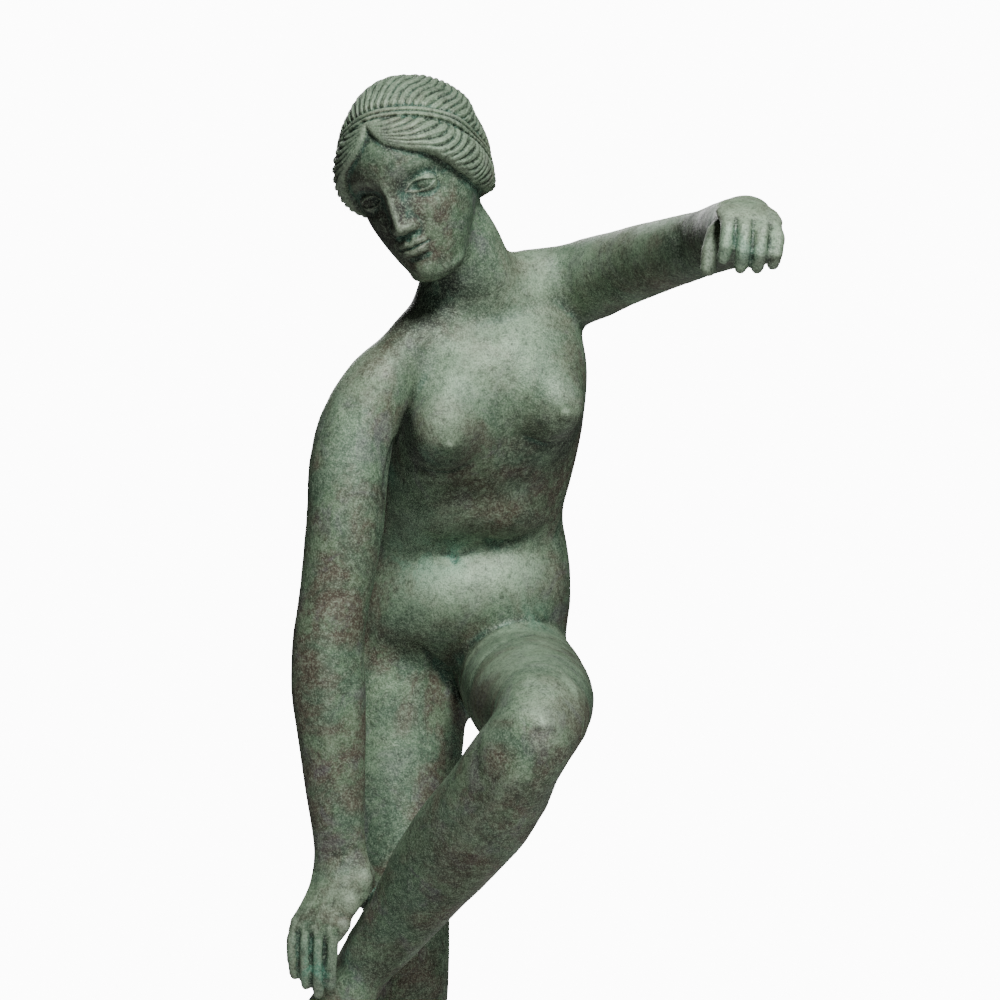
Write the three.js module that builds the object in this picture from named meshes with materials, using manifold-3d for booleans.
// A bronze statue of Venus bending to her raised foot, cast in one piece and set on a low square plinth.
// Millimetres, +Z up, her front facing -Y. The origin is the centre of the plinth's underside.
import * as THREE from "three";
import { mergeVertices } from "three/addons/utils/BufferGeometryUtils.js";
import Module from "manifold-3d";

// Driving sizes.
const FIGURE_HEIGHT = 1432; // crown to sole, as posed
const PLINTH_WIDTH = 400; // along X
const PLINTH_DEPTH = 420; // along Y
const PLINTH_HEIGHT = 50;
const PLINTH_CORNER = 24; // radius of the plinth's upright corners
const PLINTH_BEVEL = 8; // rounding of its top edge
const SEAT_GAP = 0.3; // clearance between the soles and the plinth

// The tables below are drawn for this height, with z counted up from the sole.
const DRAWN_HEIGHT = 1432;
const share = FIGURE_HEIGHT / DRAWN_HEIGHT;
const DRAWN_FROM_CENTRE = [-8, 40, 0]; // where the drawn figure's z axis stands from the plinth's centre

const bronze = new THREE.MeshStandardMaterial({ color: 0x5f6b5c, roughness: 0.62, metalness: 0.55 });
const plinthBronze = new THREE.MeshStandardMaterial({ color: 0x4c5548, roughness: 0.66, metalness: 0.55 });

const wasm = await Module();
wasm.setup();

// Solids from closed geometries, and joins between them.
function solidOf(geometry) {
  const bare = geometry.clone();
  bare.deleteAttribute("normal");
  bare.deleteAttribute("uv");
  const merged = mergeVertices(bare, 1e-4);
  return new wasm.Manifold(
    new wasm.Mesh({
      numProp: 3,
      vertProperties: new Float32Array(merged.attributes.position.array),
      triVerts: new Uint32Array(merged.index.array),
    }),
  );
}

function geometryOf(solid) {
  const mesh = solid.getMesh();
  const geometry = new THREE.BufferGeometry();
  geometry.setAttribute("position", new THREE.BufferAttribute(new Float32Array(mesh.vertProperties), 3));
  geometry.setIndex(new THREE.BufferAttribute(new Uint32Array(mesh.triVerts), 1));
  geometry.computeVertexNormals();
  return geometry;
}

const joined = (solids) => solids.reduce((whole, next) => whole.add(next));

// A closed skin over rings of points, each ring running anticlockwise seen from the far end.
function skin(rings) {
  const sides = rings[0].length;
  const positions = rings.flat().flatMap((p) => [p.x, p.y, p.z]);
  const middle = (ring) =>
    ring.reduce((sum, p) => sum.add(p), new THREE.Vector3()).divideScalar(sides);
  const startPole = positions.length / 3;
  for (const p of [middle(rings[0]), middle(rings.at(-1))]) positions.push(p.x, p.y, p.z);
  const faces = [];
  const last = (rings.length - 1) * sides;
  for (let j = 0; j < sides; j++) {
    const k = (j + 1) % sides;
    faces.push(startPole, k, j);
    faces.push(startPole + 1, last + j, last + k);
    for (let i = 0; i < rings.length - 1; i++) {
      const a = i * sides;
      const b = a + sides;
      faces.push(a + j, a + k, b + k, a + j, b + k, b + j);
    }
  }
  const geometry = new THREE.BufferGeometry();
  geometry.setAttribute("position", new THREE.Float32BufferAttribute(positions, 3));
  geometry.setIndex(faces);
  return geometry;
}

// Smooth values between rows of numbers, read at share t of the way along them.
function along(rows, t) {
  const at = t * (rows.length - 1);
  const i = Math.min(Math.floor(at), rows.length - 2);
  const f = at - i;
  const row = (n) => rows[Math.min(Math.max(n, 0), rows.length - 1)];
  return row(i).map((_, c) => {
    const [p, q, r, s] = [row(i - 1)[c], row(i)[c], row(i + 1)[c], row(i + 2)[c]];
    return q + 0.5 * f * (r - p + f * (2 * p - 5 * q + 4 * r - s + f * (3 * (q - r) + s - p)));
  });
}

// One ring: half-widths to the right and left along side, and half-depths to the front and back along front.
function ring(centre, side, front, [right, left, ahead, behind], sides, squareness = 2) {
  const points = [];
  for (let j = 0; j < sides; j++) {
    const angle = (2 * Math.PI * j) / sides;
    const c = Math.cos(angle);
    const s = Math.sin(angle);
    const bulge = (v) => Math.sign(v) * Math.abs(v) ** (2 / squareness);
    points.push(
      centre
        .clone()
        .addScaledVector(side, bulge(c) * (c > 0 ? right : left))
        .addScaledVector(front, bulge(s) * (s > 0 ? ahead : behind)),
    );
  }
  return points;
}

// Raises the surface at a place: by is the height, reach the radius it fades out over.
function pressed(point, marks) {
  const moved = point.clone();
  for (const [x, y, z, reach, by, wayX, wayY, wayZ] of marks) {
    const near = 1 - point.distanceToSquared(new THREE.Vector3(x, y, z)) / reach ** 2;
    if (near > 0) moved.addScaledVector(new THREE.Vector3(wayX, wayY, wayZ).normalize(), by * near ** 2);
  }
  return moved;
}

// A limb through stations [x, y, z, half width, half depth in front, half depth behind].
// front says which way its front faces at the first and the last station.
// round domes both ends, floor flattens it at z 0, level keeps its sections flat.
function limb(stations, options) {
  const { front, sides = 16, rings = 2 * stations.length, marks = [], round, floor, level } = options;
  const point = (t) => new THREE.Vector3(...along(stations, t));
  const made = [];
  for (let i = 0; i < rings; i++) {
    const t = i / (rings - 1);
    const step = 0.5 / rings;
    const down = point(Math.min(t + step, 1)).sub(point(Math.max(t - step, 0))).normalize();
    if (level) down.set(0, 0, Math.sign(down.z));
    const facing = new THREE.Vector3(...front[0]).lerp(new THREE.Vector3(...front[1]), t);
    facing.addScaledVector(down, -facing.dot(down)).normalize();
    const side = facing.clone().cross(down);
    const [, , , wide, ahead, behind] = along(stations, t);
    const centre = point(t);
    const sizes = [wide, wide, ahead, behind];
    const loop = (at, share) => {
      const points = ring(at, side, facing, sizes.map((size) => size * share), sides);
      return points.map((p) => pressed(p, marks));
    };
    const dome = [0.72, 0.86];
    const cap = (way) =>
      loop(centre.clone().addScaledVector(down, way * ahead * dome[0]), 1 - dome[0] ** 2 + 0.12);
    if (round && i === 0) made.push(cap(-1));
    made.push(loop(centre, 1));
    if (round && i === rings - 1) made.push(cap(1));
  }
  if (floor) for (const p of made.flat()) p.z = Math.max(p.z, 0);
  return solidOf(skin(made));
}

// A rounded mass with three half-sizes, turned by angles in degrees.
function mass([x, y, z], [a, b, c], [turnX, turnY, turnZ] = [0, 0, 0], [wide, high] = [16, 10]) {
  const radians = [turnX, turnY, turnZ].map(THREE.MathUtils.degToRad);
  const geometry = new THREE.SphereGeometry(1, wide, high);
  geometry.rotateX(Math.PI / 2).scale(a, b, c);
  geometry.applyMatrix4(new THREE.Matrix4().makeRotationFromEuler(new THREE.Euler(...radians, "ZYX")));
  return solidOf(geometry.translate(x, y, z));
}

// The trunk, neck root to crotch: [x, y, z, right, left, front, back, lean, tilt, turn].
// Right and left are the viewer's. Lean bows the section forward, tilt raises its right end,
// turn takes its right end back.
const TRUNK = [
  [36, -98, 1192, 50, 50, 36, 40, 32, 26, 20],
  [45, -97, 1168, 98, 80, 54, 54, 30, 27, 20],
  [58, -85, 1140, 112, 98, 68, 68, 28, 26, 20],
  [68, -68, 1108, 109, 110, 78, 78, 26, 22, 19],
  [68, -48, 1074, 106, 110, 84, 82, 24, 17, 17],
  [64, -28, 1040, 105, 112, 84, 80, 22, 12, 15],
  [58, -5, 1003, 102, 114, 78, 76, 20, 8, 12],
  [49, 20, 966, 99, 110, 88, 70, 16, 5, 8],
  [44, 34, 935, 107, 110, 66, 70, 12, 2, 5],
  [38, 46, 905, 119, 116, 90, 76, 10, -1, 3],
  [31, 60, 868, 126, 124, 107, 86, 6, -2, 1],
  [24, 72, 826, 128, 130, 102, 90, 3, -2, 0],
  [22, 82, 786, 112, 120, 76, 88, 0, 0, 0],
  [26, 88, 752, 72, 74, 46, 64, 0, 0, 0],
  [30, 90, 731, 26, 26, 22, 30, 0, 0, 0],
];
const TRUNK_SIDES = 28;
const TRUNK_RINGS = 24;

// Breasts, belly, seat, shoulder blades, the line of the spine and the fold of the groin.
const TRUNK_MARKS = [
  [20, -112, 1038, 52, 24, -0.3, -1, -0.15],
  [19, -120, 1060, 64, 14, -0.3, -1, 0],
  [24, -130, 1092, 100, 9, -0.2, -1, 0.2],
  [138, -98, 1066, 52, 26, 0.4, -1, -0.1],
  [135, -106, 1088, 64, 14, 0.4, -1, 0],
  [124, -116, 1118, 96, 9, 0.3, -1, 0.2],
  [36, -20, 866, 90, 6, 0, -1, -0.1],
  [-40, 140, 822, 100, 16, -0.1, 1, 0],
  [90, 134, 828, 100, 16, 0.1, 1, 0],
  [28, 162, 800, 34, -10, 0, 1, 0],
  [30, 158, 770, 34, -10, 0, 1, 0],
  [36, 128, 905, 40, -9, 0, 1, 0.3],
  [44, 108, 950, 38, -9, 0, 1, 0.3],
  [54, 84, 1000, 38, -8, 0, 1, 0.4],
  [62, 58, 1045, 38, -8, 0, 1, 0.4],
  [64, 30, 1090, 38, -8, 0, 1, 0.4],
  [22, 20, 1096, 50, 7, 0, 1, 0.4],
  [104, 32, 1120, 50, 7, 0, 1, 0.4],
];

function trunk() {
  const made = [];
  for (let i = 0; i < TRUNK_RINGS; i++) {
    const [x, y, z, right, left, ahead, behind, lean, tilt, turn] = along(TRUNK, i / (TRUNK_RINGS - 1));
    const degrees = [lean, -tilt, turn].map(THREE.MathUtils.degToRad);
    const frame = new THREE.Matrix4().makeRotationFromEuler(new THREE.Euler(...degrees, "ZYX"));
    const side = new THREE.Vector3(1, 0, 0).transformDirection(frame);
    const front = new THREE.Vector3(0, -1, 0).transformDirection(frame);
    const centre = new THREE.Vector3(x, y, z);
    const points = ring(centre, side, front, [right, left, ahead, behind], TRUNK_SIDES, 2.25);
    made.push(points.map((p) => pressed(p, TRUNK_MARKS)));
  }
  return solidOf(skin(made));
}

// From the neck root out to each shoulder, and the neck.
const SHOULDER_GIRDLE = [
  [-32, -128, 1120, 26, 30, 34],
  [-8, -116, 1149, 37, 34, 40],
  [30, -94, 1170, 44, 42, 48],
  [84, -78, 1198, 46, 38, 46],
  [134, -64, 1215, 40, 38, 42],
  [172, -60, 1222, 26, 28, 28],
];
const NECK = [
  [50, -84, 1160, 62, 36, 48],
  [46, -94, 1191, 68, 38, 54],
  [43, -108, 1221, 53, 44, 56],
  [34, -122, 1248, 44, 46, 52],
  [20, -132, 1278, 48, 46, 52],
  [8, -140, 1306, 42, 42, 48],
];

function upperBody() {
  return joined([
    trunk(),
    mass([-32, 116, 803], [64, 60, 74], [8, 0, 12], [12, 8]),
    mass([84, 108, 806], [62, 60, 72], [8, 0, -12], [12, 8]),
    limb(SHOULDER_GIRDLE, { front: [[0.3, -1, 0.2], [0.3, -1, 0.2]], sides: 12, rings: 8 }),
    limb(NECK.toReversed(), { front: [[-0.2, -1, -0.3], [0, -1, -0.2]], sides: 14, rings: 7 }),
  ]);
}

// Arms and legs, from the body outwards.
const RIGHT_ARM = [
  [-8, -116, 1147, 28, 30, 36],
  [-33, -130, 1120, 35, 37, 43],
  [-54, -139, 1096, 39, 42, 47],
  [-73, -149, 1059, 43, 44, 48],
  [-83, -160, 1015, 44, 44, 45],
  [-86, -168, 960, 43, 42, 42],
  [-92, -172, 912, 41, 40, 39],
  [-98, -174, 870, 39, 37, 37],
  [-104, -175, 832, 39, 36, 38],
  [-105, -175, 785, 41, 36, 38],
  [-102, -174, 742, 39, 34, 35],
  [-99, -172, 694, 35, 30, 31],
  [-95, -170, 641, 31, 25, 27],
  [-92, -168, 604, 29, 20, 22],
  [-92, -168, 580, 28, 18, 19],
];
const LEFT_ARM = [
  [126, -62, 1202, 33, 34, 44],
  [159, -58, 1216, 43, 42, 54],
  [199, -95, 1226, 44, 39, 46],
  [237, -155, 1234, 43, 38, 41],
  [274, -228, 1241, 40, 34, 37],
  [296, -275, 1243, 38, 34, 34],
  [312, -325, 1245, 38, 37, 34],
  [318, -380, 1247, 35, 33, 31],
  [318, -440, 1250, 30, 27, 27],
  [317, -480, 1251, 27, 23, 23],
  [316, -512, 1252, 26, 18, 20],
];
const RIGHT_LEG = [
  [-30, 84, 849, 57, 92, 70],
  [-42, 84, 806, 90, 91, 90],
  [-46, 76, 761, 90, 88, 86],
  [-41, 62, 705, 82, 82, 78],
  [-36, 42, 640, 68, 72, 66],
  [-30, 20, 574, 57, 60, 56],
  [-26, 2, 526, 49, 50, 50],
  [-24, -10, 483, 47, 48, 48],
  [-23, -14, 451, 46, 47, 46],
  [-23, -10, 417, 43, 43, 46],
  [-23, 2, 371, 44, 42, 54],
  [-22, 22, 312, 47, 40, 60],
  [-18, 38, 248, 43, 36, 52],
  [-12, 48, 185, 34, 30, 38],
  [-8, 54, 127, 27, 26, 30],
  [-5, 58, 76, 28, 27, 32],
  [-5, 60, 40, 28, 34, 36],
];
const LEFT_LEG = [
  [80, 78, 812, 57, 52, 60],
  [92, 50, 792, 69, 61, 76],
  [102, -10, 778, 71, 62, 76],
  [107, -90, 769, 70, 62, 71],
  [112, -170, 763, 68, 60, 63],
  [117, -240, 758, 58, 54, 58],
  [119, -292, 752, 50, 49, 52],
  [111, -320, 735, 46, 47, 47],
  [92, -312, 708, 50, 44, 48],
  [74, -288, 673, 53, 41, 58],
  [47, -255, 635, 54, 39, 60],
  [13, -214, 594, 51, 36, 54],
  [-15, -172, 548, 42, 32, 42],
  [-44, -138, 508, 37, 28, 33],
  [-67, -114, 478, 34, 27, 30],
];
const KNEE_CAPS = [
  [-24, -56, 490, 34, 9, -0.2, -1, 0],
  [122, -344, 742, 36, 8, 0.1, -1, 0.4],
];

function limbs() {
  const marks = KNEE_CAPS;
  return joined([
    limb(RIGHT_ARM, { front: [[0.2, -1, 0], [-0.2, -1, 0]], sides: 12, rings: 18 }),
    limb(LEFT_ARM, { front: [[0, 0, 1], [0, 0, 1]], sides: 12, rings: 15 }),
    limb(RIGHT_LEG, { front: [[-0.2, -1, 0], [-0.25, -1, 0]], sides: 12, rings: 17, marks }),
    limb(LEFT_LEG, { front: [[0.1, 0, 1], [-0.22, -0.85, -0.49]], sides: 12, rings: 17, marks }),
  ]);
}

// Fingers run knuckle, middle joint, tip, thickening the palm they grow from.
const digit = (points, thick) =>
  limb(
    points.map(([x, y, z], i) => [x, y, z, ...Array(3).fill(thick * [1.05, 1, 0.9, 0.8][i])]),
    { front: [[0, -1, 0.3], [0, -1, 0.3]], sides: 6, rings: 4, round: true },
  );

const RIGHT_PALM = [
  [-92, -168, 604, 28, 19, 21],
  [-91, -170, 586, 33, 17, 18],
  [-92, -174, 566, 35, 15, 16],
  [-102, -179, 549, 32, 14, 15],
  [-108, -182, 538, 32, 13, 14],
  [-117, -185, 520, 30, 10, 11],
  [-119, -185, 510, 26, 7, 8],
];
const RIGHT_DIGITS = [
  [[-137, -181, 530], [-142, -184, 510], [-142, -182, 490], [-140, -175, 472]],
  [[-125, -184, 532], [-129, -188, 508], [-129, -184, 482], [-128, -175, 461]],
  [[-113, -185, 532], [-115, -190, 506], [-115, -185, 476], [-115, -174, 451]],
  [[-99, -184, 532], [-100, -188, 508], [-101, -183, 482], [-102, -173, 460]],
];
const RIGHT_THUMB = [[-76, -168, 596], [-66, -163, 576], [-64, -150, 559], [-69, -134, 546]];
const LEFT_PALM = [
  [316, -500, 1251, 26, 18, 20],
  [315, -522, 1252, 27, 15, 17],
  [314, -546, 1251, 31, 13, 15],
  [314, -568, 1247, 33, 12, 14],
  [315, -586, 1239, 32, 10, 12],
  [315, -594, 1230, 27, 8, 9],
];
const LEFT_DIGITS = [
  [[294, -580, 1245], [293, -601, 1232], [290, -606, 1214], [288, -601, 1203]],
  [[309, -582, 1243], [308, -604, 1230], [306, -608, 1208], [304, -598, 1194]],
  [[324, -582, 1239], [324, -603, 1226], [322, -607, 1207], [320, -597, 1194]],
  [[337, -578, 1234], [339, -597, 1222], [337, -601, 1207], [335, -593, 1198]],
];
const LEFT_THUMB = [[298, -528, 1246], [285, -546, 1232], [278, -557, 1213], [276, -562, 1195]];

function hands() {
  return joined([
    limb(RIGHT_PALM, { front: [[-0.2, -1, 0], [-0.2, -1, 0.1]], sides: 12, rings: 7 }),
    ...RIGHT_DIGITS.map((joints) => digit(joints, 7.4)),
    digit(RIGHT_THUMB, 12),
    limb(LEFT_PALM, { front: [[0.1, 0, 1], [0.25, -1, 0.7]], sides: 12, rings: 7 }),
    ...LEFT_DIGITS.map((joints) => digit(joints, 8.4)),
    digit(LEFT_THUMB, 10.5),
  ]);
}

// A foot laid along +X from the heel, sole on z 0, great toe toward side (1 or -1 along Y).
const FOOT = [
  [-50, 0, 30, 14, 16, 18],
  [-42, 0, 32, 25, 28, 32],
  [-22, 0, 36, 30, 36, 40],
  [4, 0, 40, 31, 44, 46],
  [32, 0, 38, 32, 40, 44],
  [60, 0, 32, 35, 32, 38],
  [90, 0, 26, 40, 24, 32],
  [118, 0, 20, 43, 17, 26],
  [140, 0, 16, 42, 12, 20],
  [150, 0, 14, 36, 8, 16],
];
const TOES = [
  [28, 184, 11.5],
  [10, 182, 8.5],
  [-6, 174, 8],
  [-21, 164, 7.6],
  [-35, 152, 7.4],
];
const FOOT_ANKLE = 62; // ankle above the sole

function foot(side, [x, y, z], forward, up) {
  const body = limb(FOOT, { front: [[0, 0, 1], [0, 0, 1]], sides: 12, rings: 10, floor: true });
  const toes = TOES.map(([across, reach, thick]) => {
    const y = side * across;
    const tip = reach - thick;
    const path = [[112, y * 0.96, 15], [136, y, 14], [tip - 6, y, thick + 1], [tip, y, thick]];
    return limb(
      path.map((p, i) => [...p, thick * [0.9, 1, 1.04, 0.9][i], ...Array(2).fill(thick * 0.95)]),
      { front: [[0, 0, 1], [0, 0, 1]], sides: 5, rings: 3, round: true, floor: true },
    );
  });
  const ahead = new THREE.Vector3(...forward).normalize();
  const upward = new THREE.Vector3(...up);
  upward.addScaledVector(ahead, -upward.dot(ahead)).normalize();
  const frame = new THREE.Matrix4().makeBasis(ahead, upward.clone().cross(ahead), upward);
  frame.setPosition(new THREE.Vector3(x, y, z).addScaledVector(upward, -FOOT_ANKLE));
  return joined([body, ...toes]).transform(frame.elements);
}

function feet() {
  return joined([
    foot(1, [-5, 60, FOOT_ANKLE], [-0.2, -0.98, 0], [0, 0, 1]),
    foot(-1, [-65, -114, 476], [-0.46, -0.31, -0.83], [0.47, -0.55, 0.7]),
  ]);
}

// The head, upright and facing -Y about its own centre: [x, y, z, half width, front, back].
const HEAD = [
  [0, -60, -104, 14, 13, 14],
  [0, -57, -99, 26, 25, 28],
  [0, -50, -88, 36, 36, 44],
  [0, -42, -73, 45, 45, 62],
  [0, -32, -56, 54, 55, 76],
  [0, -20, -38, 61, 65, 88],
  [0, -10, -18, 66, 75, 94],
  [0, -4, 2, 70, 80, 96],
  [0, 0, 22, 72, 86, 97],
  [0, 2, 42, 71, 85, 94],
  [0, 4, 60, 62, 77, 80],
  [0, 6, 75, 50, 62, 62],
  [0, 8, 86, 34, 42, 42],
  [0, 10, 92, 16, 20, 20],
];
const HEAD_MARKS = [
  [-31, -78, -1, 24, -7, 0, -1, 0],
  [31, -78, -1, 24, -7, 0, -1, 0],
  [-22, -86, 17, 24, 3, 0, -1, 0],
  [22, -86, 17, 24, 3, 0, -1, 0],
  [-46, -62, -24, 30, 4, -0.6, -1, 0],
  [46, -62, -24, 30, 4, 0.6, -1, 0],
  [0, -86, -56, 26, 5, 0, -1, 0],
  [0, -86, -88, 24, 6, 0, -1, 0],
];
const HEAD_PLACE = [-10, -150, 1329];
const HEAD_TURN = [25.2, -17.3, -20.1]; // nod down, roll and turn to the viewer's left, degrees

function face() {
  const nose = limb(
    [
      [0, -80, 16, 8, 7, 10],
      [0, -83, 0, 8, 8, 12],
      [0, -88, -16, 10, 9, 14],
      [0, -92, -29, 14, 11, 18],
      [0, -88, -37, 12, 7, 12],
    ],
    { front: [[0, -1, 0], [0, -1, -0.3]], sides: 8, rings: 6 },
  );
  const eye = (side) => mass([side * 31, -65, -1], [13, 12, 7], [0, 0, side * 12], [8, 6]);
  const lips = [
    mass([0, -88, -55], [20, 9, 5], [0, 0, 0], [8, 4]),
    mass([0, -86, -63], [17, 9, 5.5], [0, 0, 0], [8, 4]),
  ];
  return joined([nose, eye(1), eye(-1), ...lips]);
}

// Hair: a combed cap behind the fillet, leaning locks from the fillet down to the hairline, and a knot.
const FILLET_RISE = 49.7; // degrees the fillet's plane rises toward the brow
const FILLET_MIDDLE = [0, 10.3, 8.7];
const FILLET_HALF = [77, 102]; // across, and from brow to nape
const FLUTES = 23; // ridges of hair round the head
const LOCK_LEAN = 26; // degrees that a lock leans toward the parting on its way down
const KNOT = { place: [0, 92, 22], half: [42, 27, 34] };
// The hairline every 22.5 degrees from the parting to the nape: degrees below the fillet, and reach.
const HAIRLINE = [
  [12, 102],
  [27, 103],
  [31.5, 101],
  [37, 95],
  [40, 87],
  [38, 80],
  [27, 83],
  [14, 92],
  [8, 96],
];

function hair() {
  const { sin, cos, PI } = Math;
  const toFillet = new THREE.Matrix4()
    .makeTranslation(...FILLET_MIDDLE)
    .multiply(new THREE.Matrix4().makeRotationX(THREE.MathUtils.degToRad(-FILLET_RISE)));
  const around = (place) => {
    const points = [];
    for (let j = 0; j < 2 * FLUTES; j++) {
      points.push(new THREE.Vector3(...place((PI * j) / FLUTES, j % 2 ? 1 : -1)).applyMatrix4(toFillet));
    }
    return points;
  };
  const level = (depth, flute, half, long) =>
    around((angle, side) => {
      const reach = 1 + side * flute;
      return [half * reach * cos(angle), long * reach * sin(angle), depth];
    });
  const combed = (share, flute, size = 1) =>
    around((angle, side) => {
      const turn = angle < PI / 2 ? angle + PI / 2 : angle - 1.5 * PI;
      const [lift, edge] = along(HAIRLINE, Math.abs(turn) / PI);
      const [across, long] = FILLET_HALF.map((half) => half * 0.945);
      const start = 1 / Math.hypot(sin(turn) / across, cos(turn) / long);
      const swell = 5 * sin(PI * share);
      const reach = size * (start + (edge - start) * share + swell) * (1 + side * flute);
      const down = THREE.MathUtils.degToRad(lift * share);
      const round = turn - THREE.MathUtils.degToRad(LOCK_LEAN * share * sin(turn));
      return [reach * sin(round) * cos(down), -reach * cos(round) * cos(down), -reach * sin(down)];
    });
  const [across, long] = FILLET_HALF;
  const head = solidOf(
    skin([
      combed(1.05, 0, 0.72),
      combed(1.03, 0, 0.9),
      combed(0.94, 0.02),
      combed(0.66, 0.032),
      combed(0.36, 0.032),
      combed(0.1, 0.02),
      level(-4, 0, across - 1, long - 1.5),
      level(3, 0, across - 1, long - 1),
      level(5, 0, 71.5, 95),
      level(14, 0.026, 73, 96.5),
      level(32, 0.026, 71.5, 93.5),
      level(54, 0.026, 63, 82),
      level(71, 0.02, 50, 63),
      level(83, 0.01, 31, 38),
      level(87, 0, 12, 14),
    ]),
  );
  return head.add(mass(KNOT.place, KNOT.half, [0, 0, 0], [12, 8]));
}

function head() {
  const upright = [[0, -1, 0], [0, -1, 0]];
  const skull = limb(HEAD, { front: upright, sides: 18, rings: 15, marks: HEAD_MARKS, level: true });
  const frame = new THREE.Matrix4().makeRotationFromEuler(
    new THREE.Euler(...HEAD_TURN.map(THREE.MathUtils.degToRad), "ZXY"),
  );
  frame.setPosition(...HEAD_PLACE);
  return joined([skull, face(), hair()]).transform(frame.elements);
}

const figureSolid = joined([upperBody(), limbs(), hands(), feet(), head()]);

const figureGeometry = geometryOf(figureSolid).translate(...DRAWN_FROM_CENTRE).scale(share, share, share);
const figure = new THREE.Mesh(figureGeometry, bronze);
figure.name = "venus_figure";
figure.position.z = PLINTH_HEIGHT + SEAT_GAP;

// The plinth: a square slab with rounded corners and a softened top edge.
function plinthGeometry() {
  const x = PLINTH_WIDTH / 2 - PLINTH_BEVEL;
  const y = PLINTH_DEPTH / 2 - PLINTH_BEVEL;
  const r = PLINTH_CORNER - PLINTH_BEVEL;
  const outline = new THREE.Shape();
  outline.absarc(x - r, -y + r, r, -Math.PI / 2, 0);
  outline.absarc(x - r, y - r, r, 0, Math.PI / 2);
  outline.absarc(-x + r, y - r, r, Math.PI / 2, Math.PI);
  outline.absarc(-x + r, -y + r, r, Math.PI, 1.5 * Math.PI);
  const geometry = new THREE.ExtrudeGeometry(outline, {
    depth: PLINTH_HEIGHT - 2 * PLINTH_BEVEL,
    bevelThickness: PLINTH_BEVEL,
    bevelSize: PLINTH_BEVEL,
    bevelSegments: 2,
    curveSegments: 4,
  });
  return geometry.translate(0, 0, PLINTH_BEVEL);
}

const plinth = new THREE.Mesh(plinthGeometry(), plinthBronze);
plinth.name = "plinth";

const statue = new THREE.Group();
statue.add(figure, plinth);

export default statue;
